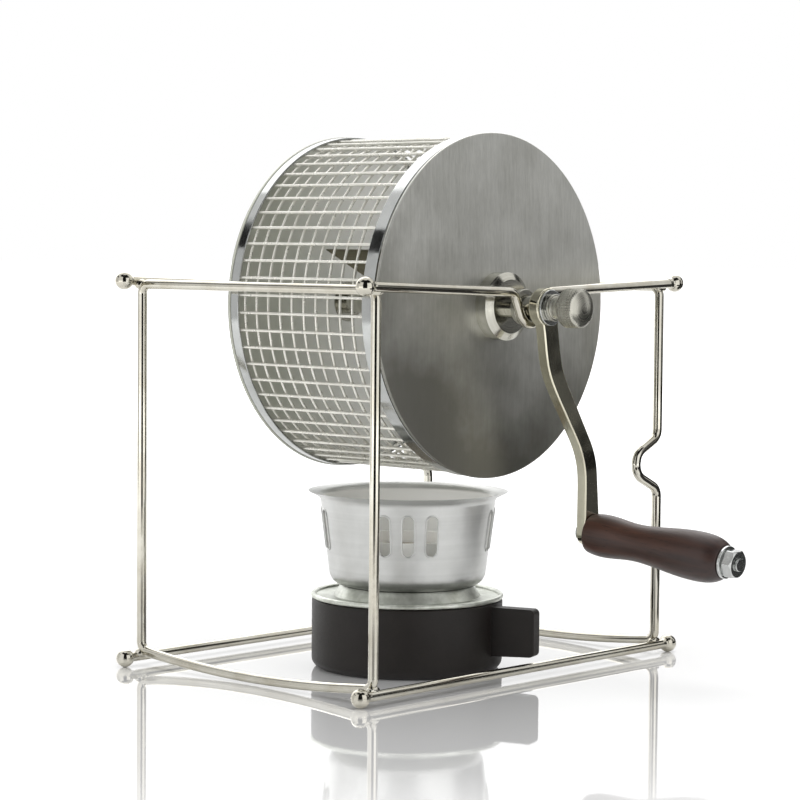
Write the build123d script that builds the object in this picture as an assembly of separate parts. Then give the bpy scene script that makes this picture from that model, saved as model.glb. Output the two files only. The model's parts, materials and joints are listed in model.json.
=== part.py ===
from build123d import *
import os
from math import atan2, cos, floor, pi, radians, sin, sqrt, tan

# Hand-cranked drum roaster on a wire stand, with a spirit burner below the drum.
# Millimetres. X runs along the drum shaft towards the crank, Y along the stand's long side, Z up.
# The origin is on the table, at the middle of the stand.

# Stand
wire_d = 3.8              # stand wire
ball_d = 7.2              # balls on the ends of the rails
drum_room = 17.6          # drum to the planes of the two loops
crank_side_room = 5.1     # crank-end hub to the spacer ring beside it
far_side_room = 20.3      # far hub to the spacer ring beside it
rail_overhang = 7.8       # ball centre beyond the loop
corner_r = 4.0            # bends at the loops' corners
top_nest = 41.0           # where a top rail lies on the outside of a loop's corner, degrees from level
bottom_nest = 50.0        # where a bottom rail lies on the outside of a loop's corner
bottom_bow = 3.6          # how far the loops' bottom wires hang at their middles
weld_gap = 0.05           # between two pieces that are welded, soldered or riveted together
rail_sag = 2.8            # top rails, from the ball to the saddle
saddle_drop = 5.8         # top rail beside the saddle to the shaft axis
flank_angle = 65.0        # sides of a saddle, from the wire's line
shoulder_r = 5.0          # bends where the wire turns down into a saddle
side_saddle_z = 79.0      # saddles in the rear posts
side_saddle_drop = 7.5    # post line to the shaft's place in a rear saddle

# Drum
flame_gap = 6.65          # windshield to the drum
shaft_d = 9.0
saddle_gap = 0.1          # shaft to saddle wire
shaft_past_rail = 5.0     # shaft beyond the far rail's wire
drum_len = 79.7           # over the rims of the two plates
plate_d = 134.4
plate_t = 1.2
plate_dish = 1.5          # middle of the crank-end plate beyond its rim
plate_flat_d = 30.0       # flat middle of the crank-end plate
lid_gap = 0.9             # crank-end plate to the band beside it
band_step = 0.4           # plate's edge beyond the bands
band_w = 6.0
far_band_w = 4.2
band_t = 0.8
mesh_d = 1.1              # mesh wire
mesh_pitch = 6.4          # between the mesh hoops
bar_pitch = 6.85          # between the mesh bars
first_hoop = 5.8          # far plate to the first hoop
hub_d = 26.5
hub_len = 7.2
hub_bevel_x = 2.0         # bevel on the hub's front, along the shaft
hub_bevel_r = 2.8         # the same bevel, across the shaft
hub_spigot_d = 16.0       # spigot that the plate is riveted on
grub_d = 4.0
grub_len = 6.0
grub_socket_af = 2.0
grub_socket_depth = 2.0
ring_d = 13.8             # spacer rings beside the saddles
ring_t = 2.2
ring_gap = 0.3            # ring to the saddle wire
running_gap = 0.06        # ring on shaft, grip on bolt, nut on stud
vane_count = 3
vane_h = 20.5             # across the vane, at the crank-end plate
vane_t = 0.8
vane_end_gap = 44.6       # pointed end of a vane to the far plate
vane_slope = 30.0         # slanted edge, along the shaft
vane_lean = 45.0          # degrees between a vane and the drum's radius
vane_turn = 70.0          # first vane from straight up, degrees about the shaft
vane_gap = 0.3            # vane to the hoops

# Crank
arm_gap = 3.2             # crank-side rail to the crank's eye
arm_t_eye = 4.6           # arm thickness at the eye
arm_t_end = 4.6           # arm thickness at the grip
arm_straight = 25.0       # eye to the first bend
arm_bend_end = 61.0       # eye to the second bend
arm_jog = 11.8            # how far the two bends carry the arm sideways
arm_offset = 4.5          # how far they carry it outwards
arm_bend_r = 58.0
arm_w = 8.4
arm_waist_w = 6.4         # arm width at the second bend
eye_d = 15.0
arm_neck_w = 10.0         # arm width where it leaves the eye
arm_neck_len = 9.0        # length over which it narrows to the arm
crank_r = 92.2            # shaft axis to the grip's bolt
crank_swing = 9.0         # rest angle of the crank from straight down, towards +Y
grip_droop = 5.3          # lean of the arm's lower end, which tips the grip down
arm_end_r = 4.6           # rounded lower end of the arm
spigot_d = 7.6            # shaft end that the eye sits on
stud_d = 6.0              # threaded end of the shaft
spigot_step = 0.1         # flat of the spigot above the stud, so that the eye passes the stud
washer_d = 13.8
washer_t = 1.0
nut_head_d = 15.0
nut_head_len = 6.8
nut_dome = 1.8
nut_neck_d = 8.6
nut_flange_d = 10.4
nut_flange_len = 2.0
nut_neck_len = 7.6        # seat to the head
nut_end_wall = 1.5        # bottom of the nut's bore to the edge of its dome
nut_end_gap = 1.0         # stud end to the bottom of the nut's bore

# Grip
grip_len = 62.4
grip_base_d = 15.3
grip_swell_d = 16.7
grip_waist_d = 14.6
grip_max_d = 18.9
grip_end_d = 12.8
grip_swell_in = 6.2       # swell, from the end at the arm
grip_waist_in = 19.2      # waist, from the end at the arm
grip_max_in = 10.5        # largest diameter, from the outer end
grip_round_in = 2.4       # middle of the rounding, from the outer end
grip_gap = 0.3            # grip to the arm and to its washer
bolt_d = 6.0
bolt_head_d = 7.6
bolt_head_t = 1.0
bolt_thread_d = 5.0
grip_washer_d = 12.6
grip_washer_t = 1.2
grip_nut_af = 10.0
grip_nut_t = 4.6
thread_past_nut = 0.8

# Burner
burner_x = 12.0
burner_y = -10.8
base_d = 75.8
base_h = 27.6
base_wall = 4.0
base_floor = 4.0
base_foot_r = 4.0         # rounding at the bottom
base_lip = 0.6            # chamfer at the top
tab_angle = 17.0          # degrees about Z, from +X
tab_len = 17.9            # beyond the base's side
tab_t = 6.0
tab_clear = 1.5           # tab above the stand's bottom rail
tab_rise = 0.8            # how far the tab's lower edge climbs to its end
tab_drop = 0.6            # tab's top edge below the base's
tab_corner_r = 2.0
seat_gap = 0.1            # tray on base
tray_overhang = 0.3       # tray's rolled rim beyond the base's side
tray_t = 0.9
tray_bead_r = 1.0         # rolled rim
skirt_gap = 0.4           # tray skirt in the base
skirt_len = 8.0
platform_d = 53.0
platform_h = 4.2          # raised middle of the tray above its floor
platform_flare = 2.6      # how far its sloped side spreads
cup_base_d = 60.8
cup_top_d = 69.7
cup_rim_d = 79.4
cup_h = 37.3              # windshield over all
cup_lip_h = 2.4           # flared lip
cup_foot_r = 6.0
cup_lip_r = 3.0
cup_wall = 0.8
slot_w = 4.6
slot_h = 16.0
slot_mid = 22.5           # slot middle above the windshield's foot
slot_groups = 3           # front and both sides, the back wall is plain
slots_in_group = 3
slot_pitch = 16.0         # between the slots of a group, degrees about Z
group_pitch = 90.0        # between the groups, degrees about Z
slot_turn = -47.5         # middle group, degrees about Z
fuel_room = 0.4           # fuel cup to the rounded corner of the windshield's floor
fuel_h = 18.0
fuel_wall = 0.8
wick_gap = 0.3
wick_top = 4.0            # fuel cup's rim above the wick

# Heights and widths of the burner's pieces
tray_z = base_h + seat_gap
tray_floor_z = tray_z + tray_t
platform_z = tray_floor_z + platform_h
cup_z = platform_z + weld_gap
fuel_z = cup_z + cup_wall + weld_gap
fuel_d = cup_base_d - 2 * (cup_foot_r + fuel_room)
tray_d = base_d + 2 * tray_overhang

# Places of the shaft and the stand's wires
wire_r = wire_d / 2
ball_r = ball_d / 2
shaft_r = shaft_d / 2
saddle_r = shaft_r + saddle_gap + wire_r
shaft_z = cup_z + cup_h + flame_gap + plate_d / 2
shoulder_z = shaft_z + saddle_drop
top_rail_z = shoulder_z + rail_sag
bottom_rail_z = ball_r
tab_low = bottom_rail_z + wire_r + tab_clear
tab_reach = base_d / 2 + tab_len
loop_y = plate_d / 2 + drum_room
ball_y = loop_y + rail_overhang
nest = corner_r + wire_d + weld_gap
ring_reach = wire_r + ring_gap + ring_t
hubs_len = drum_len + plate_dish + 2 * hub_len
top_rail_x = (hubs_len + crank_side_room + far_side_room) / 2 + ring_reach
post_x = top_rail_x + corner_r - nest * cos(radians(top_nest))
bottom_rail_x = post_x - corner_r + nest * cos(radians(bottom_nest))

# Places along the shaft
drum_far_x = hub_len + far_side_room + ring_reach - top_rail_x
crank_rim_x = drum_far_x + drum_len
crank_face_x = crank_rim_x + plate_dish
far_inner_x = drum_far_x + plate_t
crank_band_x = crank_rim_x - plate_t - lid_gap
eye_back_x = top_rail_x + wire_r + arm_gap
arm_x = eye_back_x + arm_t_eye / 2
eye_front_x = eye_back_x + arm_t_eye
washer_x = eye_front_x + weld_gap
nut_x = washer_x + washer_t + weld_gap
nut_head_x = nut_x + nut_neck_len
nut_edge_x = nut_head_x + nut_head_len
nut_bore_x = nut_edge_x - nut_end_wall
stud_end_x = nut_bore_x - nut_end_gap
spigot_flat = stud_d / 2 + spigot_step

# Bands and mesh, and the places that pieces are built at
band_d = plate_d - 2 * band_step
bar_r = band_d / 2 - band_t - weld_gap - mesh_d / 2
hoop_r = bar_r - mesh_d - weld_gap
on_shaft = Pos(0, 0, shaft_z)
on_crank = Pos(arm_x, 0, shaft_z) * Rot(crank_swing, 0, 0)
crank_drop = sqrt(crank_r ** 2 - arm_jog ** 2)
on_burner = Pos(burner_x, burner_y, 0)


# A round rod along X.
def rod(x0, x1, d):
    upright = Cylinder(d / 2, x1 - x0, align=(Align.CENTER, Align.CENTER, Align.MIN))
    return Pos(x0, 0, 0) * Rot(0, 90, 0) * upright


# A round-section wire along a path.
def round_wire(path, d):
    return sweep(Plane(origin=path @ 0, z_dir=path % 0) * Circle(d / 2), path=path)


# A turned piece about X from its half outline, given as (place along X, radius).
def turned_x(outline):
    return revolve(Plane.XZ * make_face(Polyline(*outline, close=True)), axis=Axis.X)


# A piece turned about Z from a closed half outline in the XZ plane.
def turned_z(half_face):
    return revolve(Plane.XZ * half_face, axis=Axis.Z)


# Reach along the wire and depth of a saddle's unrounded corner, for a shaft the given drop below the wire.
def saddle_corner(drop):
    depth = drop + saddle_r / cos(radians(flank_angle))
    return depth / tan(radians(flank_angle)), depth


# Top wire of a loop: the rail lies on its corner, a little lower than the ball because the rail sags.
rail_slope = rail_sag / (ball_y - saddle_corner(shoulder_z - shaft_z)[0])
loop_top_z = top_rail_z - rail_slope * rail_overhang + corner_r - nest * sin(radians(top_nest))

# Bottom wire of a loop: the middle point of its unrounded line, and the bend there.
bow_run = post_x - 2 * corner_r
bow_apex = bottom_bow / (1 - bow_run / (2 * post_x))
bow_slope = bow_apex / post_x
bow_r = bow_run / bow_slope
bottom_corner = corner_r * ((1 + bow_slope ** 2) ** 0.5 - bow_slope)
loop_bottom_z = bottom_rail_z + nest * sin(radians(bottom_nest)) - bottom_corner


# A closed loop: bowed bottom wire, one post, top wire, other post.
def loop(y, post_points, post_bends):
    right = [(post_x, y + dy, z) for dy, z in post_points]
    left = [(-post_x, y + dy, z) for dy, z in reversed(post_points)]
    points = [(0, y, loop_bottom_z - bow_apex), (post_x, y, loop_bottom_z)]
    points += right + [(post_x, y, loop_top_z), (-post_x, y, loop_top_z)]
    points += left + [(-post_x, y, loop_bottom_z)]
    bends = [bow_r, corner_r] + post_bends + [corner_r, corner_r] + post_bends + [corner_r]
    return round_wire(FilletPolyline(*points, radius=bends, close=True), wire_d)


def rear_posts():
    run, depth = saddle_corner(side_saddle_drop)
    points = [(0, side_saddle_z - run), (-depth, side_saddle_z), (0, side_saddle_z + run)]
    return points, [shoulder_r, saddle_r, shoulder_r]


def top_rail_path(x):
    run, depth = saddle_corner(shoulder_z - shaft_z)
    points = [(x, -ball_y, top_rail_z), (x, -run, shoulder_z), (x, 0, shoulder_z - depth)]
    points += [(x, run, shoulder_z), (x, ball_y, top_rail_z)]
    return FilletPolyline(*points, radius=[shoulder_r, saddle_r, shoulder_r])


def bottom_rail_path(x):
    return Line((x, -ball_y, bottom_rail_z), (x, ball_y, bottom_rail_z))


# Balls on both ends of a rail, with sockets that the rail is soldered into.
def rail_balls(path):
    socket = round_wire(path, wire_d + 2 * weld_gap)
    return [(Pos(*(path @ end)) * Sphere(ball_r)) - socket for end in (0, 1)]


def stand():
    crank_top = top_rail_path(top_rail_x)
    far_top = top_rail_path(-top_rail_x)
    crank_bottom = bottom_rail_path(bottom_rail_x)
    far_bottom = bottom_rail_path(-bottom_rail_x)
    return {
        "front_loop": loop(-loop_y, [], []),
        "rear_loop": loop(loop_y, *rear_posts()),
        "crank_side_top_rail": round_wire(crank_top, wire_d),
        "far_side_top_rail": round_wire(far_top, wire_d),
        "crank_side_bottom_rail": round_wire(crank_bottom, wire_d),
        "far_side_bottom_rail": round_wire(far_bottom, wire_d),
        "ball_finials": Compound(rail_balls(crank_top) + rail_balls(far_top)),
        "ball_feet": Compound(rail_balls(crank_bottom) + rail_balls(far_bottom)),
    }


# A hub on the outside of a plate, built facing +X with the plate's outer face at zero.
def hub():
    nose_r = hub_d / 2 - hub_bevel_r
    outline = [(-plate_t, shaft_r + weld_gap), (-plate_t, hub_spigot_d / 2), (0, hub_spigot_d / 2)]
    outline += [(0, hub_d / 2), (hub_len - hub_bevel_x, hub_d / 2), (hub_len, nose_r)]
    outline += [(hub_len, shaft_r + weld_gap)]
    grub_hole = Cylinder(grub_d / 2 + weld_gap, hub_d, align=(Align.CENTER, Align.CENTER, Align.MIN))
    return turned_x(outline) - grub_place() * grub_hole


# Grub screws enter the hub from the +Y side, halfway along its full diameter.
def grub_place():
    return Pos((hub_len - hub_bevel_x) / 2, 0, 0) * Rot(-90, 0, 0)


def grub_screw():
    low = shaft_r + weld_gap
    body = Pos(0, 0, low) * Cylinder(grub_d / 2, grub_len, align=(Align.CENTER, Align.CENTER, Align.MIN))
    socket = extrude(RegularPolygon(grub_socket_af / 2, 6, major_radius=False), grub_socket_depth)
    return grub_place() * (body - Pos(0, 0, low + grub_len - grub_socket_depth) * socket)


# The crank-end hub faces +X, the far hub faces -X.
def at_plate(piece, far):
    if far:
        return on_shaft * Pos(drum_far_x, 0, 0) * Rot(0, 0, 180) * Rot(180, 0, 0) * piece
    return on_shaft * Pos(crank_face_x, 0, 0) * piece


def far_plate():
    disc = rod(drum_far_x, far_inner_x, plate_d)
    return on_shaft * (disc - rod(drum_far_x, far_inner_x, hub_spigot_d + 2 * weld_gap))


# The crank-end plate is a little dished, with a flat middle for the hub.
def crank_plate():
    hole_r = hub_spigot_d / 2 + weld_gap
    face = [(crank_face_x, hole_r), (crank_face_x, plate_flat_d / 2), (crank_rim_x, plate_d / 2)]
    return on_shaft * turned_x(face + [(x - plate_t, r) for x, r in reversed(face)])


# Inside of the dished plate at a radius.
def crank_inner_x(r):
    return crank_rim_x - plate_t + plate_dish * (plate_d / 2 - r) / (plate_d / 2 - plate_flat_d / 2)


def band(x0, width):
    return on_shaft * (rod(x0, x0 + width, band_d) - rod(x0, x0 + width, band_d - 2 * band_t))


def mesh_bars():
    count = round(2 * pi * bar_r / bar_pitch)
    bar = Pos(0, 0, bar_r) * rod(far_inner_x + weld_gap, crank_band_x, mesh_d)
    return Compound([on_shaft * Rot((k + 0.5) * 360 / count, 0, 0) * bar for k in range(count)])


def mesh_hoops():
    first = far_inner_x + first_hoop
    count = floor((crank_band_x - mesh_d - first) / mesh_pitch) + 1
    hoop = Rot(0, 90, 0) * Torus(hoop_r, mesh_d / 2)
    return Compound([on_shaft * Pos(first + k * mesh_pitch, 0, 0) * hoop for k in range(count)])


# Pointed blades inside the mesh, welded to the crank-end plate and leaning so that they scoop the beans.
def stirring_vanes():
    outer_r = hoop_r - mesh_d / 2 - vane_gap - vane_t / 2
    inner_r = sqrt(outer_r ** 2 + vane_h ** 2 - 2 * outer_r * vane_h * cos(radians(vane_lean)))
    tip_x = far_inner_x + vane_end_gap
    outline = [(tip_x, 0), (crank_inner_x(outer_r) - weld_gap, 0)]
    outline += [(crank_inner_x(inner_r) - weld_gap, -vane_h), (tip_x + vane_slope, -vane_h)]
    blade = extrude(Plane.XZ * make_face(Polyline(*outline, close=True)), vane_t / 2, both=True)
    leaning = Pos(0, 0, outer_r) * Rot(-vane_lean, 0, 0) * blade
    turns = [vane_turn + k * 360 / vane_count for k in range(vane_count)]
    return Compound([on_shaft * Rot(turn, 0, 0) * leaning for turn in turns])


# Shaft with a flatted spigot for the crank's eye and a threaded stud for the thumb nut.
def drum_shaft():
    journal = rod(-top_rail_x - wire_r - shaft_past_rail, eye_back_x - weld_gap, shaft_d)
    spigot = rod(eye_back_x - weld_gap, eye_front_x - weld_gap, spigot_d) & spigot_block(0, crank_swing)
    stud = rod(eye_front_x - weld_gap, stud_end_x, stud_d)
    return on_shaft * (journal + spigot + stud)


# Block that cuts the flat of the spigot, or of the eye's hole with a gap, turned about the shaft.
def spigot_block(gap, turn):
    low_corner = (Align.CENTER, Align.CENTER, Align.MAX)
    block = Box(4 * arm_x, 2 * spigot_d, 2 * spigot_d, align=low_corner)
    return Rot(turn, 0, 0) * Pos(0, 0, spigot_flat + gap) * block


def spacer_rings():
    inner_x = top_rail_x - ring_reach
    ring = rod(inner_x, inner_x + ring_t, ring_d)
    ring -= rod(inner_x, inner_x + ring_t, shaft_d + 2 * running_gap)
    return Compound([on_shaft * ring, on_shaft * Rot(0, 0, 180) * ring])


# Middle line of the arm's lower end, out along X at a distance below the eye.
def arm_reach(below):
    return arm_offset - (below - arm_bend_end) * tan(radians(grip_droop))


# Side view of the arm: two bent lines, the back and the front.
def arm_side():
    top = eye_d
    bottom = crank_drop + arm_end_r
    half_eye = arm_t_eye / 2
    half_end = arm_t_end / 2
    lines = []
    for side in (-1, 1):
        points = [(side * half_eye, top), (side * half_eye, -arm_straight)]
        points += [(arm_offset + side * half_end, -arm_bend_end)]
        points += [(arm_reach(bottom) + side * half_end, -bottom)]
        lines.append(FilletPolyline(*points, radius=arm_bend_r))
    ends = [Line(lines[0] @ 0, lines[1] @ 0), Line(lines[0] @ 1, lines[1] @ 1)]
    return extrude(Plane.XZ * make_face(lines + ends), arm_jog + eye_d, both=True)


# Front view of the arm: round eye, neck, bar with two bends, waist and rounded end.
def arm_front():
    bend = atan2(arm_jog, arm_bend_end - arm_straight)
    lines = []
    for side in (-1, 1):
        higher = side * arm_w / 2 * tan(bend / 2)
        neck = [(side * arm_neck_w / 2, 0), (side * arm_w / 2, -arm_neck_len)]
        points = [neck[1], (side * arm_w / 2, higher - arm_straight)]
        points += [(arm_jog + side * arm_waist_w / 2, higher - arm_bend_end)]
        points += [(arm_jog + side * arm_end_r, -crank_drop)]
        lines += [Line(*neck), FilletPolyline(*points, radius=arm_bend_r)]
    ends = [Line(lines[0] @ 0, lines[2] @ 0), Line(lines[1] @ 1, lines[3] @ 1)]
    face = make_face(lines + ends) + Circle(eye_d / 2)
    face += Pos(arm_jog, -crank_drop) * Circle(arm_end_r)
    reach = arm_offset + arm_t_end + eye_d
    return extrude(Plane.YZ * face, reach, both=True)


# Place on the arm's outer face where the grip's axis leaves it, with X along the bolt.
def grip_place():
    face_x = arm_reach(crank_drop) + arm_t_end / 2
    return Pos(face_x, arm_jog, -crank_drop) * Rot(0, grip_droop, 0)


def crank_arm():
    hole = rod(-eye_d, eye_d, spigot_d + 2 * weld_gap) & spigot_block(weld_gap, 0)
    bolt_hole = grip_place() * rod(-eye_d, eye_d, bolt_d + 2 * weld_gap)
    return on_crank * ((arm_side() & arm_front()) - hole - bolt_hole)


def crank_washer():
    washer = rod(washer_x, washer_x + washer_t, washer_d)
    washer -= rod(washer_x, washer_x + washer_t, stud_d + 2 * running_gap)
    return on_shaft * washer


# Thumb nut: seat flange, neck, head with a domed end, blind bore.
def thumb_nut():
    neck_x = nut_x + nut_flange_len
    neck_r = nut_neck_d / 2
    flange_r = nut_flange_d / 2
    head_r = nut_head_d / 2
    dome_r = (head_r ** 2 + nut_dome ** 2) / (2 * nut_dome)
    mid_x = nut_edge_x + nut_dome - dome_r + sqrt(dome_r ** 2 - (head_r / 2) ** 2)
    line = Polyline((nut_x, 0), (nut_x, flange_r), (neck_x, flange_r), (neck_x, neck_r),
                    ((neck_x + nut_head_x) / 2, neck_r), (nut_head_x, head_r), (nut_edge_x, head_r))
    dome = ThreePointArc((nut_edge_x, head_r), (mid_x, head_r / 2), (nut_edge_x + nut_dome, 0))
    axis_line = Line((nut_edge_x + nut_dome, 0), (nut_x, 0))
    body = revolve(Plane.XZ * make_face([line, dome, axis_line]), axis=Axis.X)
    return on_shaft * (body - rod(nut_x, nut_bore_x, stud_d + 2 * running_gap))


def grip_parts():
    grip_x0 = grip_gap
    grip_x1 = grip_x0 + grip_len
    washer_x0 = grip_x1 + grip_gap
    nut_x0 = washer_x0 + grip_washer_t + weld_gap
    bolt_end = nut_x0 + grip_nut_t + thread_past_nut
    back_x = -arm_t_end / cos(radians(grip_droop)) - weld_gap
    place = on_crank * grip_place()

    bolt = rod(back_x - bolt_head_t, back_x, bolt_head_d) + rod(back_x, washer_x0 - weld_gap, bolt_d)
    bolt += rod(washer_x0 - weld_gap, bolt_end, bolt_thread_d)
    washer = rod(washer_x0, washer_x0 + grip_washer_t, grip_washer_d)
    washer -= rod(washer_x0, washer_x0 + grip_washer_t, bolt_thread_d + 2 * weld_gap)
    hexagon = RegularPolygon(grip_nut_af / 2, 6, major_radius=False)
    nut = Pos(nut_x0, 0, 0) * extrude(Plane.YZ * hexagon, grip_nut_t)
    nut -= rod(nut_x0, nut_x0 + grip_nut_t, bolt_thread_d + 2 * weld_gap)

    waist_x = grip_x0 + grip_waist_in
    max_x = grip_x1 - grip_max_in
    belly_d = (grip_waist_d + grip_max_d) / 2
    round_d = (grip_max_d + grip_end_d) / 2
    turning = [(grip_x0, grip_base_d), (grip_x0 + grip_swell_in, grip_swell_d), (waist_x, grip_waist_d)]
    turning += [((waist_x + max_x) / 2, belly_d), (max_x, grip_max_d)]
    turning += [(grip_x1 - grip_round_in, round_d), (grip_x1, grip_end_d)]
    points = [(x, d / 2) for x, d in turning]
    bore_r = bolt_d / 2 + running_gap
    inner = Polyline(points[-1], (grip_x1, bore_r), (grip_x0, bore_r), points[0])
    grip = revolve(Plane.XZ * make_face([Spline(*points), inner]), axis=Axis.X)
    return {
        "grip_bolt": place * bolt,
        "grip_washer": place * washer,
        "grip_nut": place * nut,
        "wooden_grip": place * grip,
    }


def drum():
    nodes = {
        "drum_shaft": drum_shaft(),
        "crank_end_plate": crank_plate(),
        "far_end_plate": far_plate(),
        "crank_end_band": band(crank_band_x - band_w, band_w),
        "far_end_band": band(far_inner_x + weld_gap, far_band_w),
        "mesh_bars": mesh_bars(),
        "mesh_hoops": mesh_hoops(),
        "stirring_vanes": stirring_vanes(),
        "crank_hub": at_plate(hub(), False),
        "far_hub": at_plate(hub(), True),
        "hub_grub_screws": Compound([at_plate(grub_screw(), False), at_plate(grub_screw(), True)]),
        "spacer_rings": spacer_rings(),
        "crank_arm": crank_arm(),
        "crank_washer": crank_washer(),
        "thumb_nut": thumb_nut(),
    }
    nodes.update(grip_parts())
    return nodes


# Black holder: hollow drum with a flat tab to carry it by.
def burner_base():
    body = Cylinder(base_d / 2, base_h, align=(Align.CENTER, Align.CENTER, Align.MIN))
    body = fillet(body.edges().sort_by(Axis.Z)[0], base_foot_r)
    body = chamfer(body.edges().sort_by(Axis.Z)[-1], base_lip)
    root = base_d / 2 - base_wall / 2
    tab_top = base_h - base_lip - tab_drop
    side = [(root, tab_low), (tab_reach, tab_low + tab_rise), (tab_reach, tab_top), (root, tab_top)]
    tab = extrude(Plane.XZ * make_face(Polyline(*side, close=True)), tab_t / 2, both=True)
    tab = fillet(tab.edges().filter_by(Axis.Y).sort_by(Axis.X)[-2:], tab_corner_r)
    cavity = Pos(0, 0, base_floor) * Cylinder(
        base_d / 2 - base_wall, base_h, align=(Align.CENTER, Align.CENTER, Align.MIN))
    return on_burner * (body + Rot(0, 0, tab_angle) * tab - cavity)


# Sheet tray: raised platform, floor with a rolled rim, and a skirt that enters the base.
def fuel_tray():
    rim_r = tray_d / 2 - tray_bead_r
    skirt_r = base_d / 2 - base_wall - skirt_gap
    top_r = platform_d / 2
    foot_r = top_r + platform_flare
    over = [(0, platform_z), (top_r, platform_z), (foot_r, tray_floor_z), (rim_r, tray_floor_z)]
    under = [(rim_r, tray_z), (skirt_r, tray_z), (skirt_r, tray_z - skirt_len)]
    under += [(skirt_r - tray_t, tray_z - skirt_len), (skirt_r - tray_t, tray_z)]
    under += [(foot_r - tray_t, tray_z), (top_r - tray_t, platform_z - tray_t), (0, platform_z - tray_t)]
    sheet = turned_z(make_face(Polyline(*over, *under, close=True)))
    bead = Pos(0, 0, tray_z + tray_bead_r) * Torus(rim_r, tray_bead_r)
    return on_burner * (sheet + bead)


# Spun cup: flat foot, rounded corner, tapered wall, flared lip, and groups of upright slots.
def windshield():
    wall_top = cup_h - cup_lip_h
    outer = [(0, 0), (cup_base_d / 2, 0), (cup_top_d / 2, wall_top), (cup_rim_d / 2, cup_h)]
    inner = [(0, cup_wall), (cup_base_d / 2 - cup_wall, cup_wall)]
    inner += [(cup_top_d / 2 - cup_wall, wall_top + cup_wall), (cup_rim_d / 2 - cup_wall, cup_h)]
    outer_line = FilletPolyline(*outer, radius=[cup_foot_r, cup_lip_r])
    inner_line = FilletPolyline(*inner, radius=[cup_foot_r - cup_wall, cup_lip_r + cup_wall])
    ends = [Line(outer_line @ 0, inner_line @ 0), Line(outer_line @ 1, inner_line @ 1)]
    cup = turned_z(make_face([outer_line, inner_line] + ends))
    slot = Plane.YZ * Pos(0, slot_mid) * SlotOverall(slot_h, slot_w, rotation=90)
    cutter = extrude(slot, cup_rim_d / 2)
    middle = (slots_in_group - 1) / 2
    middle_group = (slot_groups - 1) / 2
    for group in range(slot_groups):
        for k in range(slots_in_group):
            turn = slot_turn + (group - middle_group) * group_pitch + (k - middle) * slot_pitch
            cup -= Rot(0, 0, turn) * cutter
    return on_burner * Pos(0, 0, cup_z) * cup


def fuel_cup():
    outer = Cylinder(fuel_d / 2, fuel_h, align=(Align.CENTER, Align.CENTER, Align.MIN))
    inner = Cylinder(fuel_d / 2 - fuel_wall, fuel_h, align=(Align.CENTER, Align.CENTER, Align.MIN))
    return on_burner * Pos(0, 0, fuel_z) * (outer - Pos(0, 0, fuel_wall) * inner)


def wick():
    pad_z = fuel_z + fuel_wall + weld_gap
    pad_h = fuel_h - fuel_wall - weld_gap - wick_top
    pad = Cylinder(fuel_d / 2 - fuel_wall - wick_gap, pad_h, align=(Align.CENTER, Align.CENTER, Align.MIN))
    return on_burner * Pos(0, 0, pad_z) * pad


def burner():
    return {
        "burner_base": burner_base(),
        "fuel_tray": fuel_tray(),
        "windshield": windshield(),
        "fuel_cup": fuel_cup(),
        "wick": wick(),
    }


def main():
    os.makedirs("parts", exist_ok=True)
    nodes = {**stand(), **drum(), **burner()}
    for name, shape in nodes.items():
        export_step(shape, f"parts/{name}.step")


main()
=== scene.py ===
import bmesh
import bpy
import json
import math
from mathutils import Matrix, Vector, noise


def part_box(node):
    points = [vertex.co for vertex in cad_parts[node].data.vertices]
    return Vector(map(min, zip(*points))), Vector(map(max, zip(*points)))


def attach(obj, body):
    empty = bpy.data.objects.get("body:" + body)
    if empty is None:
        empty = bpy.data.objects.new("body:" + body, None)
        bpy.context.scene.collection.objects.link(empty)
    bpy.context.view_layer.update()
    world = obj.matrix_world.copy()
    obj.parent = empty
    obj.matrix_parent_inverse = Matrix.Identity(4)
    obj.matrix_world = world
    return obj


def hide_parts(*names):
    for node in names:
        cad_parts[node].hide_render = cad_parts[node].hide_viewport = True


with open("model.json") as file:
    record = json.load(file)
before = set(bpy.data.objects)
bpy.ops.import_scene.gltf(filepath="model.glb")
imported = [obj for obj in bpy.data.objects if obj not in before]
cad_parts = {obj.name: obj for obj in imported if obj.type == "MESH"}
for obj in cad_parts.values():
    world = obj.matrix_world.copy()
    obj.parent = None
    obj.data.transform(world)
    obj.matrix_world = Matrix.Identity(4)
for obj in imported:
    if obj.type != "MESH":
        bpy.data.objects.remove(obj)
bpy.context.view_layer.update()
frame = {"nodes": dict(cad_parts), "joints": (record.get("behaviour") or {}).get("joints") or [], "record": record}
mm = 0.001
fullTurn = 2 * math.pi
print("frame loaded:", len(frame["nodes"]), "solids")


# places that several pieces share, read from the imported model
def middle(node):
    low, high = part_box(node)
    return (low + high) / 2


slotOf = {part["node"]: part["material_slot"] for part in frame["record"]["subparts"]}
bodyOf = {node: body for body, nodes in frame["record"]["behaviour"]["bodies"].items() for node in nodes}
onShaft = Matrix.Translation((0, 0, middle("drum_shaft").z))
burnerMiddle = middle("windshield")
upright = Matrix.Rotation(-math.pi / 2, 4, "Y")     # a turned piece's axis, stood up
onBurner = Matrix.Translation((burnerMiddle.x, burnerMiddle.y, 0)) @ upright
gripJoint = next(joint for joint in frame["joints"] if joint["name"] == "grip_spin")
gripAxis = Vector(gripJoint["axis"]).normalized()
gripStart = Vector(gripJoint["pos_m"])
gripTurn = Vector((1, 0, 0)).rotation_difference(gripAxis).to_matrix().to_4x4()
onGrip = Matrix.Translation(gripStart) @ gripTurn


# meshes and pieces

sharpFrom = 32              # degrees between two faces
flatWithin = 0.3            # degrees between triangles of one flat face
mergeWithin = 0.002 * mm
softSteps = 3
roundSteps = 4


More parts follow.
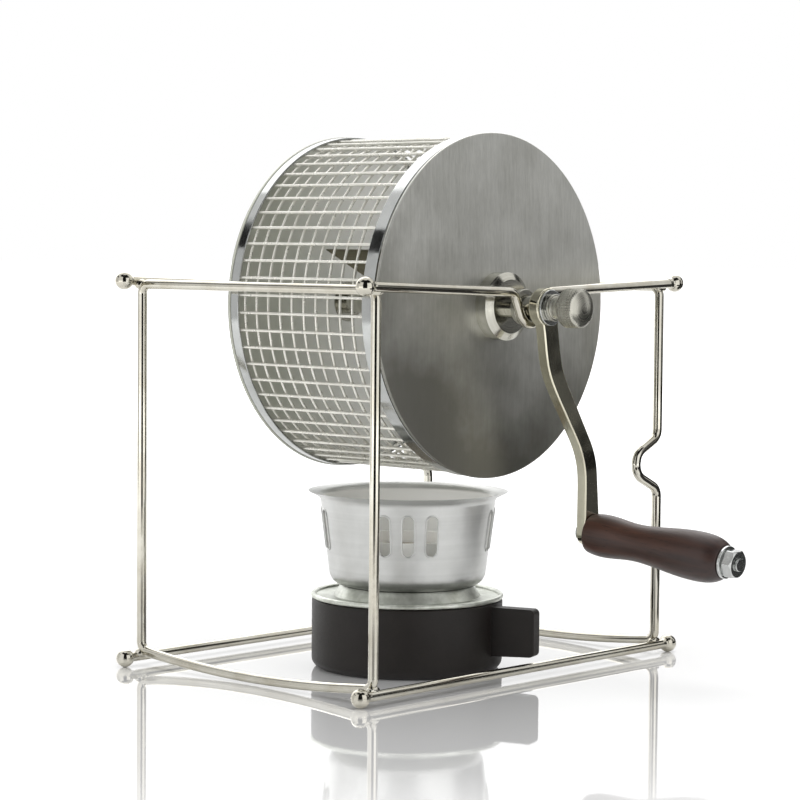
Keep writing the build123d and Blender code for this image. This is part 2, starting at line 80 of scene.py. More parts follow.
def softEdges(piece, width):
    bevel = piece.modifiers.new("softEdges", "BEVEL")
    bevel.width = width
    bevel.segments = softSteps
    bevel.limit_method = "ANGLE"
    bevel.angle_limit = math.radians(sharpFrom)
    bevel.harden_normals = True


def makePiece(name, bm, body, slotName, replaced=(), sharpAngle=sharpFrom):
    for face in bm.faces:
        face.smooth = True
    for edge in bm.edges:
        edge.smooth = len(edge.link_faces) == 2 and edge.calc_face_angle(0) < math.radians(sharpAngle)
    mesh = bpy.data.meshes.new(name)
    bm.to_mesh(mesh)
    bm.free()
    piece = bpy.data.objects.new(name, mesh)
    bpy.context.scene.collection.objects.link(piece)
    mesh.materials.append(finishes[slotName])
    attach(piece, body)
    if replaced:
        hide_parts(*replaced)
    return piece


# a copy of a solid with its triangles merged into whole faces, ready for soft edges
def solidCopy(node):
    bm = bmesh.new()
    bm.from_mesh(frame["nodes"][node].data)
    bmesh.ops.remove_doubles(bm, verts=bm.verts[:], dist=mergeWithin)
    bmesh.ops.dissolve_limit(bm, angle_limit=math.radians(flatWithin), verts=bm.verts[:], edges=bm.edges[:])
    return bm


# a turned piece: corners are (along the axis, radius, rounding) in millimetres
def turnedMesh(corners, steps, place, closed=True):
    bm = bmesh.new()
    points = [bm.verts.new((along * mm, 0, radius * mm)) for along, radius, rounding in corners]
    following = points[1:] + points[:1] if closed else points[1:]
    for here, there in zip(points, following):
        bm.edges.new((here, there))
    for point, (along, radius, rounding) in zip(points, corners):
        if rounding:
            bmesh.ops.bevel(bm, geom=[point], offset=rounding * mm, segments=roundSteps, profile=0.5,
                            affect="VERTICES", material=-1)
    bmesh.ops.spin(bm, geom=bm.verts[:] + bm.edges[:], cent=(0, 0, 0), axis=(1, 0, 0),
                   angle=fullTurn, steps=steps, use_merge=True)
    bmesh.ops.remove_doubles(bm, verts=bm.verts[:], dist=mergeWithin)
    bmesh.ops.recalc_face_normals(bm, faces=bm.faces[:])
    bm.transform(place)
    return bm


def joined(meshes):
    whole = bmesh.new()
    for part in meshes:
        scratch = bpy.data.meshes.new("scratch")
        part.to_mesh(scratch)
        part.free()
        whole.from_mesh(scratch)
        bpy.data.meshes.remove(scratch)
    return whole


# short ways to add nodes

def addNode(tree, kind, **settings):
    node = tree.nodes.new(kind)
    for label, value in settings.items():
        setattr(node, label, value)
    return node


# joins a socket to another one, or sets it to a plain value
def plug(tree, value, socket):
    if hasattr(value, "is_linked"):
        tree.links.new(value, socket)
    else:
        socket.default_value = value


def feed(tree, node, **inputs):
    for label, value in inputs.items():
        plug(tree, value, node.inputs[label.replace("_", " ")])
    return node


def noiseAt(tree, vector, scale, detail, rough):
    node = addNode(tree, "ShaderNodeTexNoise")
    return feed(tree, node, Vector=vector, Scale=scale, Detail=detail, Roughness=rough).outputs["Fac"]


def mathNode(tree, operation, first, second, clamp=False):
    node = addNode(tree, "ShaderNodeMath", operation=operation, use_clamp=clamp)
    plug(tree, first, node.inputs[0])
    plug(tree, second, node.inputs[1])
    return node.outputs[0]


def vectorNode(tree, operation, *inputs):
    node = addNode(tree, "ShaderNodeVectorMath", operation=operation)
    for socket, value in zip(node.inputs, inputs):
        plug(tree, value, socket)
    return node


def partsOf(tree, vector):
    return feed(tree, addNode(tree, "ShaderNodeSeparateXYZ"), Vector=vector).outputs


def rangeNode(tree, value, low, high, toLow=0.0, toHigh=1.0):
    node = addNode(tree, "ShaderNodeMapRange")
    feed(tree, node, Value=value, From_Min=low, From_Max=high, To_Min=toLow, To_Max=toHigh)
    return node.outputs["Result"]


def mixColour(tree, factor, first, second):
    node = addNode(tree, "ShaderNodeMix", data_type="RGBA", blend_type="MIX")
    for socket, value in ((node.inputs[0], factor), (node.inputs[6], first), (node.inputs[7], second)):
        plug(tree, value, socket)
    return node.outputs[2]


def weighted(tree, values, weights):
    total = None
    for value, weight in zip(values, weights):
        share = mathNode(tree, "MULTIPLY", value, weight)
        total = share if total is None else mathNode(tree, "ADD", total, share)
    return total


# place along a turned piece's axis, X, and distance from it
def turnedPlace(tree, vector):
    parts = partsOf(tree, vector)
    across = feed(tree, addNode(tree, "ShaderNodeCombineXYZ"), Y=parts["Y"], Z=parts["Z"])
    return parts["X"], vectorNode(tree, "LENGTH", across.outputs[0]).outputs["Value"]


# node groups that several finishes share

# inputs are a Vector and one more socket (label, kind, value), outputs are values
def newGroup(name, extra, outputs):
    group = bpy.data.node_groups.new(name, "ShaderNodeTree")
    group.interface.new_socket(name="Vector", in_out="INPUT", socket_type="NodeSocketVector")
    label, kind, value = extra
    group.interface.new_socket(name=label, in_out="INPUT", socket_type=kind).default_value = value
    for label in outputs:
        group.interface.new_socket(name=label, in_out="OUTPUT", socket_type="NodeSocketFloat")
    start, end = group.nodes.new("NodeGroupInput"), group.nodes.new("NodeGroupOutput")
    return group, start.outputs, end


# long fine scratches along one axis; Stretch is large across the grain and small along it
def buildBrushGrain():
    extra = ("Stretch", "NodeSocketVector", (1, 1, 1))
    group, start, end = newGroup("brushGrain", extra, ("Grain", "Streaks"))
    stretched = vectorNode(group, "MULTIPLY", start["Vector"], start["Stretch"]).outputs[0]
    feed(group, end, Grain=noiseAt(group, stretched, 1.0, 3.0, 0.7),
         Streaks=noiseAt(group, stretched, 0.22, 2.0, 0.6))
    return group


# rings that a turning tool leaves: the pattern only knows the place along the axis and the radius
def buildTurningMarks():
    extra = ("Pitch", "NodeSocketFloat", 0.0004)
    group, start, end = newGroup("turningMarks", extra, ("Rings", "Bands"))
    along, radius = turnedPlace(group, start["Vector"])
    flat = feed(group, addNode(group, "ShaderNodeCombineXYZ"), X=along, Y=radius)
    scaled = vectorNode(group, "SCALE", flat.outputs[0])
    feed(group, scaled, Scale=mathNode(group, "DIVIDE", 1.0, start["Pitch"]))
    feed(group, end, Rings=noiseAt(group, scaled.outputs[0], 1.0, 2.0, 0.6),
         Bands=noiseAt(group, scaled.outputs[0], 0.15, 2.0, 0.6))
    return group


# handled metal: soft smears, and specks that are much smaller
specksPerSmear = 24.0


def buildHandling():
    extra = ("Size", "NodeSocketFloat", 0.02)
    group, start, end = newGroup("handling", extra, ("Smears", "Specks"))
    scale = mathNode(group, "DIVIDE", 1.0, start["Size"])
    fine = mathNode(group, "MULTIPLY", scale, specksPerSmear)
    feed(group, end, Smears=noiseAt(group, start["Vector"], scale, 4.0, 0.6),
         Specks=noiseAt(group, start["Vector"], fine, 2.0, 0.6))
    return group


brushGrain = buildBrushGrain()
turningMarks = buildTurningMarks()
handling = buildHandling()


# finishes, one for each material slot of the record; sizes in metres, a span is the part of a noise in use

roughSpan = (0.25, 0.75)
bumpReach = 0.05 * mm


def newFinish(name, metallic, specular=0.5):
    finish = bpy.data.materials.new(name)
    finish.use_nodes = True
    tree = finish.node_tree
    shader = tree.nodes["Principled BSDF"]
    shader.inputs["Metallic"].default_value = metallic
    shader.inputs["Specular IOR Level"].default_value = specular
    place = addNode(tree, "ShaderNodeTexCoord").outputs["Object"]
    return finish, tree, shader, place


def useGroup(tree, group, vector, **values):
    return feed(tree, addNode(tree, "ShaderNodeGroup", node_tree=group), Vector=vector, **values).outputs


def moved(tree, place, matrix):
    inverse = matrix.inverted()
    node = addNode(tree, "ShaderNodeMapping", vector_type="POINT")
    feed(tree, node, Vector=place, Location=inverse.translation, Rotation=inverse.to_euler("XYZ"))
    return node.outputs[0]


def bumpFrom(tree, shader, height, strength, distance=bumpReach):
    node = feed(tree, addNode(tree, "ShaderNodeBump"), Height=height, Strength=strength, Distance=distance)
    tree.links.new(node.outputs["Normal"], shader.inputs["Normal"])


# plated wire and fasteners: colour, dull colour, roughness, size of the smears, metallic
platedMetals = {
    "nickel_wire": ((0.62, 0.60, 0.53, 1), (0.50, 0.47, 0.39, 1), (0.06, 0.15), 0.012, 1.0),
    "polished_band": ((0.50, 0.51, 0.50, 1), (0.42, 0.43, 0.42, 1), (0.06, 0.16), 0.010, 1.0),
    "mesh_wire": ((0.80, 0.79, 0.73, 1), (0.64, 0.63, 0.57, 1), (0.22, 0.34), 0.010, 0.5),
    "crank_nickel": ((0.80, 0.77, 0.62, 1), (0.66, 0.63, 0.50, 1), (0.07, 0.16), 0.014, 1.0),
    "zinc_fastener": ((0.64, 0.65, 0.64, 1), (0.50, 0.51, 0.50, 1), (0.10, 0.22), 0.006, 1.0),
}
plating = dict(toneSpan=(0.35, 0.70), roughSpan=(0.30, 0.70), speckDepth=0.04, speckReach=0.02 * mm)


def platedFinish(name, colour, dull, rough, smearSize, metallic):
    finish, tree, shader, place = newFinish(name, metallic)
    marks = useGroup(tree, handling, place, Size=smearSize)
    shade = rangeNode(tree, marks["Smears"], *plating["toneSpan"])
    feed(tree, shader, Base_Color=mixColour(tree, shade, colour, dull),
         Roughness=rangeNode(tree, marks["Smears"], *plating["roughSpan"], *rough))
    bumpFrom(tree, shader, marks["Specks"], plating["speckDepth"], plating["speckReach"])
    return finish


# the marks on brushed sheet, and the tone that they give it
def brushedMarks(tree, place, n):
    grain = useGroup(tree, brushGrain, place, Stretch=n["stretch"])
    marks = useGroup(tree, handling, place, Size=n["smearSize"])
    both = weighted(tree, (grain["Grain"], marks["Smears"], grain["Streaks"]), n["weights"])
    tone = mixColour(tree, rangeNode(tree, both, *n["toneSpan"]), n["dark"], n["bright"])
    return grain, marks, tone


# the stirring vanes
darkSheet = dict(bright=(0.15, 0.14, 0.10, 1), dark=(0.08, 0.075, 0.05, 1), stretch=(60, 2600, 2600),
                 smearSize=0.028, weights=(0.35, 0.45, 0.2), toneSpan=(0.36, 0.64), rough=(0.36, 0.52),
                 depth=0.20)


def sheetFinish():
    n = darkSheet
    finish, tree, shader, place = newFinish("dark_sheet", 1.0)
    grain, marks, tone = brushedMarks(tree, place, n)
    feed(tree, shader, Base_Color=tone, Roughness=rangeNode(tree, grain["Grain"], *roughSpan, *n["rough"]))
    bumpFrom(tree, shader, grain["Grain"], n["depth"])
    return finish


# the end plates: brushed, with painted shade that darkens them below at the crank end, and satin inside the far
# end with painted light, lighter towards the back
brushedPlate = dict(bright=(0.76, 0.76, 0.72, 1), dark=(0.52, 0.52, 0.48, 1), stretch=(3600, 3200, 260),
                    smearSize=0.040, weights=(0.3, 0.5, 0.2), toneSpan=(0.38, 0.62), rough=(0.38, 0.48),
                    depth=0.06, paintedLowShade=(0.20, 0.195, 0.17, 1), lowShadeFrom=0.152, lowShadeFull=0.086,
                    lowShadeMost=0.9, lowShadeSlant=0.5, cloudReach=0.08, satinAndLit=(0.98, 0.98, 0.95, 1),
                    paintedFrontShade=(0.53, 0.54, 0.47, 1), frontY=-0.040, backY=0.010, satinRough=0.60,
                    satinMetallic=0.12, crankEnd=0.045, farEnd=-0.030, farOuter=-0.0327, farInner=-0.0322)


def plateFinish():
    n = brushedPlate
    finish, tree, shader, place = newFinish("brushed_plate", 1.0)
    grain, marks, tone = brushedMarks(tree, place, n)
    parts = partsOf(tree, place)
    # painted shade: the plate is painted darker towards the bottom and the front, with a ragged edge from the
    # smears
    slant = mathNode(tree, "ADD", parts["Z"], mathNode(tree, "MULTIPLY", parts["Y"], n["lowShadeSlant"]))
    clouds = mathNode(tree, "MULTIPLY", mathNode(tree, "SUBTRACT", marks["Smears"], 0.5), n["cloudReach"])
    lowShade = rangeNode(tree, mathNode(tree, "ADD", slant, clouds), n["lowShadeFrom"], n["lowShadeFull"],
                     0.0, n["lowShadeMost"])
    tone = mixColour(tree, lowShade, tone, n["paintedLowShade"])
    # satin inside the far end; its colour is painted light, lighter towards the back, with painted shade towards
    # the front
    satinAndLit = mathNode(tree, "MULTIPLY", rangeNode(tree, parts["X"], n["farEnd"], n["crankEnd"], 1.0, 0.0),
                     rangeNode(tree, parts["X"], n["farOuter"], n["farInner"]))
    cleanOrLit = rangeNode(tree, parts["Y"], n["frontY"], n["backY"])
    paintedInsideLight = mixColour(tree, cleanOrLit, n["paintedFrontShade"], n["satinAndLit"])
    rough = rangeNode(tree, grain["Grain"], *roughSpan, *n["rough"])
    rough = mathNode(tree, "MAXIMUM", rough, mathNode(tree, "MULTIPLY", satinAndLit, n["satinRough"]))
    feed(tree, shader, Base_Color=mixColour(tree, satinAndLit, tone, paintedInsideLight), Roughness=rough,
         Metallic=rangeNode(tree, satinAndLit, 0.0, 1.0, 1.0, n["satinMetallic"]))
    bumpFrom(tree, shader, grain["Grain"], n["depth"])
    return finish


# turned metal: duller beyond a place along the axis, with a painted dark reflection on the dome, or a painted
# shadow within a radius
turnedSteel = dict(bright=(0.62, 0.61, 0.55, 1), dark=(0.46, 0.45, 0.39, 1), metallic=1.0, place=onShaft,
                   pitch=0.0005, smearSize=0.012, weights=(0.7, 0.3), toneSpan=(0.35, 0.65),
                   rough=(0.12, 0.24), depth=0.20, dullFrom=0.0770, dullRun=0.2 * mm, dullRough=0.10,
                   domeFrom=0.0902, domeRun=0.4 * mm, paintedDomeReflection=(0.50, 0.49, 0.43, 1))
turnedTray = dict(bright=(0.72, 0.74, 0.68, 1), dark=(0.40, 0.42, 0.36, 1), metallic=0.75, place=onBurner,
                  pitch=0.0005, smearSize=0.007, weights=(0.2, 0.8), toneSpan=(0.35, 0.65),
                  rough=(0.30, 0.42), depth=0.25, paintedShadow=(0.05, 0.05, 0.04, 1), shadowFull=0.0266,
                  shadowEnd=0.0274, shadowMost=0.85, shadowRagged=2 * mm)


def turnedFinish(name, n):
    finish, tree, shader, place = newFinish(name, n["metallic"])
    local = moved(tree, place, n["place"])
    along, radius = turnedPlace(tree, local)
    rings = useGroup(tree, turningMarks, local, Pitch=n["pitch"])
    marks = useGroup(tree, handling, place, Size=n["smearSize"])
    both = weighted(tree, (rings["Bands"], marks["Smears"]), n["weights"])
    tone = mixColour(tree, rangeNode(tree, both, *n["toneSpan"]), n["dark"], n["bright"])
    rough = rangeNode(tree, rings["Rings"], *roughSpan, *n["rough"])
    if "dullFrom" in n:
        dull = rangeNode(tree, along, n["dullFrom"], n["dullFrom"] + n["dullRun"], 0.0, n["dullRough"])
        rough = mathNode(tree, "ADD", rough, dull)
        # painted reflection: the dome is painted darker, for the dark room that it mirrors
        dome = rangeNode(tree, along, n["domeFrom"], n["domeFrom"] + n["domeRun"])
        tone = mixColour(tree, dome, tone, n["paintedDomeReflection"])
    if "paintedShadow" in n:
        # painted shadow on the tray under the cup's foot, with a ragged edge
        ragged = mathNode(tree, "ADD", radius, mathNode(tree, "MULTIPLY", marks["Smears"], n["shadowRagged"]))
        shadowed = rangeNode(tree, ragged, n["shadowFull"], n["shadowEnd"], n["shadowMost"], 0.0)
        tone = mixColour(tree, shadowed, tone, n["paintedShadow"])
    feed(tree, shader, Base_Color=tone, Roughness=rough)
    bumpFrom(tree, shader, rings["Rings"], n["depth"])
    return finish


# spun aluminium: turning marks outside, satin inside the cup's wall with painted light that makes it lighter,
# painted shade at the foot
spunCup = dict(bright=(0.63, 0.635, 0.62, 1), dark=(0.53, 0.535, 0.52, 1), pitch=0.0003, smearSize=0.014,
               weights=(0.4, 0.6), toneSpan=(0.35, 0.65), rough=(0.28, 0.38), metallic=0.85, depth=0.40,
               footRadius=0.0304, footHeight=0.0329, footRound=0.006, footRun=1 * mm, flare=0.128,
               satinAndLit=(0.93, 0.93, 0.90, 1), satinRough=0.55, satinMetallic=0.12,
               satinDepth=(0.3 * mm, 0.7 * mm), paintedFootShade=(0.07, 0.07, 0.06, 1), footShadeFull=0.002,
               footShadeEnd=0.0075, footShadeMost=0.85, footShadeRagged=4 * mm)


def spunFinish():
    n = spunCup
    finish, tree, shader, place = newFinish("spun_aluminium", 1.0)
    local = moved(tree, place, onBurner)
    along, radius = turnedPlace(tree, local)
    rings = useGroup(tree, turningMarks, local, Pitch=n["pitch"])
    marks = useGroup(tree, handling, place, Size=n["smearSize"])
    both = weighted(tree, (rings["Bands"], marks["Smears"]), n["weights"])
    tone = mixColour(tree, rangeNode(tree, both, *n["toneSpan"]), n["dark"], n["bright"])
    # inside the wall: satin, and painted lighter for the light that passes between the walls
    rise = mathNode(tree, "SUBTRACT", along, n["footHeight"])
    wall = mathNode(tree, "ADD", mathNode(tree, "MULTIPLY", rise, n["flare"]), n["footRadius"])
    within = rangeNode(tree, mathNode(tree, "SUBTRACT", wall, radius), *n["satinDepth"])
    above = rangeNode(tree, rise, n["footRound"], n["footRound"] + n["footRun"])
    inside = mathNode(tree, "MULTIPLY", within, above)
    # painted shade at the foot of the cup, with a ragged edge
    ragged = mathNode(tree, "ADD", rise, mathNode(tree, "MULTIPLY", marks["Smears"], n["footShadeRagged"]))
    footShaded = rangeNode(tree, ragged, n["footShadeFull"], n["footShadeEnd"], n["footShadeMost"], 0.0)
    tone = mixColour(tree, footShaded, tone, n["paintedFootShade"])
    rough = rangeNode(tree, rings["Rings"], *roughSpan, *n["rough"])
    rough = mathNode(tree, "MAXIMUM", rough, mathNode(tree, "MULTIPLY", inside, n["satinRough"]))
    feed(tree, shader, Base_Color=mixColour(tree, inside, tone, n["satinAndLit"]), Roughness=rough,
         Metallic=rangeNode(tree, inside, 0.0, 1.0, n["metallic"], n["satinMetallic"]))
    bumpFrom(tree, shader, rings["Rings"], n["depth"])
    return finish


# oiled hardwood, darker towards the outer end, with fine pores
gripWood = dict(stretch=(70, 1500, 1500), dark=(0.022, 0.010, 0.007, 1), light=(0.058, 0.024, 0.015, 1),
                toneSpan=(0.3, 0.7), outerTone=(0.014, 0.008, 0.008, 1), outerFrom=0.020, outerFull=0.060,
                outerMost=0.55, pores=(0.012, 0.006, 0.004, 1), poreSpan=(0.30, 0.42), rough=(0.52, 0.40),
                depth=0.12, coat=0.12, coatRough=0.30)


def woodFinish():
    n = gripWood
    finish, tree, shader, place = newFinish("wood", 0.0)
    local = moved(tree, place, onGrip)
    grain = useGroup(tree, brushGrain, local, Stretch=n["stretch"])
    tone = mixColour(tree, rangeNode(tree, grain["Streaks"], *n["toneSpan"]), n["dark"], n["light"])
    outerTone = rangeNode(tree, turnedPlace(tree, local)[0], n["outerFrom"], n["outerFull"], 0.0, n["outerMost"])
    tone = mixColour(tree, outerTone, tone, n["outerTone"])
    pores = rangeNode(tree, grain["Grain"], *n["poreSpan"], 1.0, 0.0)
    feed(tree, shader, Base_Color=mixColour(tree, pores, tone, n["pores"]),
         Roughness=rangeNode(tree, grain["Grain"], *n["toneSpan"], *n["rough"]),
         Coat_Weight=n["coat"], Coat_Roughness=n["coatRough"])
    bumpFrom(tree, shader, grain["Grain"], n["depth"])
    return finish


# black moulding with a fine grit and a little dust
mouldedBase = dict(specular=0.35, smearSize=0.02, cleanOrLit=(0.010, 0.008, 0.007, 1),
                   dusty=(0.020, 0.017, 0.015, 1), dustSpan=(0.45, 0.75), dustMost=0.5, gritScale=2600.0,
                   gritSpan=(0.3, 0.7), rough=(0.42, 0.60), depth=0.30, gritReach=0.06 * mm)


def mouldedFinish():
    n = mouldedBase
    finish, tree, shader, place = newFinish("black_moulding", 0.0, n["specular"])
    marks = useGroup(tree, handling, place, Size=n["smearSize"])
    grit = noiseAt(tree, place, n["gritScale"], 2.0, 0.6)
    dust = rangeNode(tree, marks["Smears"], *n["dustSpan"], 0.0, n["dustMost"])
    feed(tree, shader, Base_Color=mixColour(tree, dust, n["cleanOrLit"], n["dusty"]),
         Roughness=rangeNode(tree, grit, *n["gritSpan"], *n["rough"]))
    bumpFrom(tree, shader, grit, n["depth"], n["gritReach"])
    return finish


# woven wick: two waves cross, and the gaps between the threads are painted darker, as painted shade
wickWeave = dict(specular=0.2, threads=160.0, distortion=1.2, smearSize=0.015, toneSpan=(0.35, 0.65),
                 dark=(0.42, 0.37, 0.30, 1), light=(0.66, 0.62, 0.55, 1), paintedGapShade=(0.2, 0.18, 0.15, 1),
                 gapSpan=(0.5, 1.0), gapMost=0.7, rough=0.9, depth=0.6, weaveReach=0.5 * mm)


def wickFinish():
    n = wickWeave
    finish, tree, shader, place = newFinish("wick_pad", 0.0, n["specular"])
    warp, weft = (addNode(tree, "ShaderNodeTexWave", wave_type="BANDS", bands_direction=way) for way in "XY")
    for thread in (warp, weft):
        feed(tree, thread, Vector=place, Scale=n["threads"], Distortion=n["distortion"], Detail=1.0)
    weave = mathNode(tree, "MAXIMUM", warp.outputs["Fac"], weft.outputs["Fac"])
    marks = useGroup(tree, handling, place, Size=n["smearSize"])
    tone = mixColour(tree, rangeNode(tree, marks["Smears"], *n["toneSpan"]), n["dark"], n["light"])
    paintedGapShade = rangeNode(tree, weave, *n["gapSpan"], n["gapMost"], 0.0)
    feed(tree, shader, Base_Color=mixColour(tree, paintedGapShade, tone, n["paintedGapShade"]), Roughness=n["rough"])
    bumpFrom(tree, shader, weave, n["depth"], n["weaveReach"])
    return finish


finishes = {name: platedFinish(name, *row) for name, row in platedMetals.items()}
finishes.update({
    "brushed_plate": plateFinish(),
    "turned_steel": turnedFinish("turned_steel", turnedSteel),
    "dark_sheet": sheetFinish(),
    "wood": woodFinish(),
    "spun_aluminium": spunFinish(),
    "polished_tray": turnedFinish("polished_tray", turnedTray),
    "black_moulding": mouldedFinish(),
    "wick_pad": wickFinish(),
})
print("finishes made:", len(finishes))


# every solid takes its finish; those that a piece stands in for aren't shown
def dressSolids():
    for node, solid in frame["nodes"].items():
        solid.data.materials.clear()
        solid.data.materials.append(finishes[slotOf[node]])


# solids that get soft edges: width of the softened edge in millimetres
softWidths = {
    "crank_end_plate": 0.40, "far_end_plate": 0.40, "crank_end_band": 0.30, "far_end_band": 0.30,
    "crank_hub": 0.35, "far_hub": 0.35, "drum_shaft": 0.45, "spacer_rings": 0.40, "stirring_vanes": 0.15,
    "crank_arm": 0.70, "crank_washer": 0.30, "grip_bolt": 0.35, "grip_washer": 0.35, "wooden_grip": 0.90,
    "burner_base": 0.60, "fuel_tray": 0.35, "windshield": 0.25, "fuel_cup": 0.25, "hub_grub_screws": 0.20,
}


def buildSoftCopies():
    for node, width in softWidths.items():
        piece = makePiece(node + "Soft", solidCopy(node), bodyOf[node], slotOf[node], [node])
        softEdges(piece, width * mm)


# balls on the rail ends, each with a small solder collar on the side of the wire
# a collar's corners are (beyond the seat, beyond the wire, rounding) in millimetres
ballEnds = dict(across=44, around=26, collarSteps=28, collarFlare=0.9, sharpAngle=50,
                rails={"ball_finials": "crank_side_top_rail", "ball_feet": "crank_side_bottom_rail"},
                collar=((-0.4, -0.3, 0), (-0.1, 0.9, 0), (0.7, 0.25, 0.5), (2.4, 0.02, 0), (2.4, -0.3, 0)))


def buildBalls():
    n = ballEnds
    for node, rail in n["rails"].items():
        low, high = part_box(node)
        railLow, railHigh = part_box(rail)
        wire = (railHigh.x - railLow.x) / 2 / mm
        radius = (high.z - low.z) / 2
        seat = math.sqrt((radius / mm) ** 2 - (wire + n["collarFlare"]) ** 2)
        corners = [(seat + along, wire + out, rounding) for along, out, rounding in n["collar"]]
        parts = []
        for x in (low.x + radius, high.x - radius):
            for y, inward in ((low.y + radius, 1), (high.y - radius, -1)):
                centre = Matrix.Translation((x, y, (low.z + high.z) / 2))
                ball = bmesh.new()
                bmesh.ops.create_uvsphere(ball, u_segments=n["across"], v_segments=n["around"],
                                          radius=radius, matrix=centre)
                parts.append(ball)
                turn = Matrix.Rotation(inward * math.pi / 2, 4, "Z")
                parts.append(turnedMesh(corners, n["collarSteps"], centre @ turn))
        makePiece(node + "Round", joined(parts), "stand", slotOf[node], [node], n["sharpAngle"])


# beads of solder where a rail lies on the corner of a loop; a nest is the slope between the two in degrees
solderBead = dict(radius=2.1, alongRail=1.5, lumps=0.22, lumpSize=1.6, topNest=41.0, bottomNest=50.0,
                  topSunk=0.3, smoothness=4, sharpAngle=60)


def buildSolder():
    n = solderBead
    frontY = middle("front_loop").y
    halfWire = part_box("front_loop")[1].y - frontY
    loops = (frontY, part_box("rear_loop")[1].y - halfWire)
    parts = []
    for rail, nest, level in (("top", n["topNest"], 1), ("bottom", n["bottomNest"], -1)):
        low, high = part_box(f"crank_side_{rail}_rail")
        wire = (high.x - low.x) / 2
        height = high.z - wire - n["topSunk"] * mm if level > 0 else middle(f"crank_side_{rail}_rail").z
        slope = math.radians(nest)
        for side in (1, -1):
            for loopY in loops:
                inward = Vector((-side * math.cos(slope), 0, -level * math.sin(slope)))
                centre = Vector((side * (low.x + wire), loopY, height)) + inward * wire
                bead = bmesh.new()
                bmesh.ops.create_icosphere(bead, subdivisions=n["smoothness"], radius=n["radius"] * mm)
                bmesh.ops.scale(bead, vec=(1, n["alongRail"], 1), verts=bead.verts[:])
                for vert in bead.verts:
                    lump = noise.noise((vert.co + centre) / (n["lumpSize"] * mm))
                    vert.co += vert.co.normalized() * lump * n["lumps"] * mm
                bead.transform(Matrix.Translation(centre))
                parts.append(bead)
    makePiece("solderBeads", joined(parts), "stand", "nickel_wire", (), n["sharpAngle"])


# thumb nut: seat flange, bright neck, straight knurl, domed end
thumbNut = dict(bore=3.06, boreDepth=12.9, boreRound=0.2, flange=5.2, flangeLength=2.0, flangeRound=0.35,
                neck=4.3, neckEnd=4.8, neckRound=0.3, throatRound=0.8, headStart=7.6, head=7.5, headEnd=14.4,
                shoulderBack=0.4, shoulderIn=0.9, shoulderRound=0.2, rimSlope=0.3, rimIn=0.35, dome=1.8,
                domeSteps=7, teeth=46, toothSteps=4, toothDepth=0.26, toothReach=0.02, sharpAngle=38)


def buildThumbNut():
    n = thumbNut
    arc = (n["head"] ** 2 + n["dome"] ** 2) / (2 * n["dome"])
    corners = [(n["boreDepth"], 0, 0), (n["boreDepth"], n["bore"], 0), (0, n["bore"], n["boreRound"]),
               (0, n["flange"], n["flangeRound"]), (n["flangeLength"], n["flange"], n["flangeRound"]),
               (n["flangeLength"], n["neck"], n["neckRound"]), (n["neckEnd"], n["neck"], n["throatRound"]),
               (n["headStart"] - n["shoulderBack"], n["head"] - n["shoulderIn"], n["shoulderRound"]),
               (n["headStart"] + n["rimSlope"], n["head"], 0), (n["headEnd"] - n["rimSlope"], n["head"], 0)]
    edge = n["head"] - n["rimIn"]
    for step in range(n["domeSteps"] + 1):
        radius = edge * (1 - step / n["domeSteps"])
        rise = math.sqrt(arc ** 2 - radius ** 2) - math.sqrt(arc ** 2 - edge ** 2)
        corners.append((n["headEnd"] + rise, radius, 0))
    bm = turnedMesh(corners, n["teeth"] * n["toothSteps"], Matrix.Identity(4), False)
    for vert in bm.verts:
        if abs(math.hypot(vert.co.y, vert.co.z) - n["head"] * mm) < n["toothReach"] * mm:
            tooth = math.cos(math.atan2(vert.co.z, vert.co.y) * n["teeth"])
            shrink = 1 - n["toothDepth"] * (0.5 - 0.5 * tooth) / n["head"]
            vert.co.y *= shrink
            vert.co.z *= shrink
    bm.transform(onShaft @ Matrix.Translation((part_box("thumb_nut")[0].x, 0, 0)))
    makePiece("thumbNutKnurled", bm, "nut", "turned_steel", ["thumb_nut"], n["sharpAngle"])


# hexagon nut on the grip's bolt: flats cut from a turned blank, so that the chamfer curves at each flat
gripNut = dict(flats=10.0, height=4.6, bore=2.55, boreRound=0.25, faceShare=0.97, chamfer=0.9,
               chamferLeast=0.12, steps=96, sharpAngle=20)


def buildGripNut():
    n = gripNut
    reach = n["flats"] / 2
    corner = reach / math.cos(math.pi / 6)
    face = reach * n["faceShare"]
    blank = [(0, n["bore"], n["boreRound"]), (0, face, 0), (n["chamfer"], corner, 0),
             (n["height"] - n["chamfer"], corner, 0), (n["height"], face, 0),
             (n["height"], n["bore"], n["boreRound"])]
    bm = turnedMesh(blank, n["steps"], Matrix.Identity(4))
    half = n["height"] / 2 * mm
    for vert in bm.verts:
        radius = math.hypot(vert.co.y, vert.co.z)
        if radius > reach * mm:
            turn = math.atan2(vert.co.z, vert.co.y) % (math.pi / 3) - math.pi / 6
            flat = reach * mm / math.cos(turn)
            share = (flat - reach * mm) / ((corner - reach) * mm)
            cut = n["chamfer"] * mm * (n["chamferLeast"] + (1 - n["chamferLeast"]) * share)
            vert.co.x = half + math.copysign(half - cut, vert.co.x - half)
            vert.co.y *= flat / radius
            vert.co.z *= flat / radius
    nutCorners = [vert.co for vert in frame["nodes"]["grip_nut"].data.vertices]
    seat = min((spot - gripStart).dot(gripAxis) for spot in nutCorners)
    bm.transform(onGrip @ Matrix.Translation((seat, 0, 0)))
    makePiece("gripNutHex", bm, "drum", "zinc_fastener", ["grip_nut"], n["sharpAngle"])


# raised lips round the slots of the windshield; turns in degrees from +X
slotLip = dict(width=4.6, height=16.0, middleZ=22.5, groupTurns=(-137.5, -47.5, 42.5), inGroup=3, pitch=16.0,
               bead=0.32, beadSteps=8, bendSteps=10, outside=0.15, mergeWithin=0.01, footRadius=30.4,
               topRadius=34.85, wallHeight=34.9, sharpAngle=60)


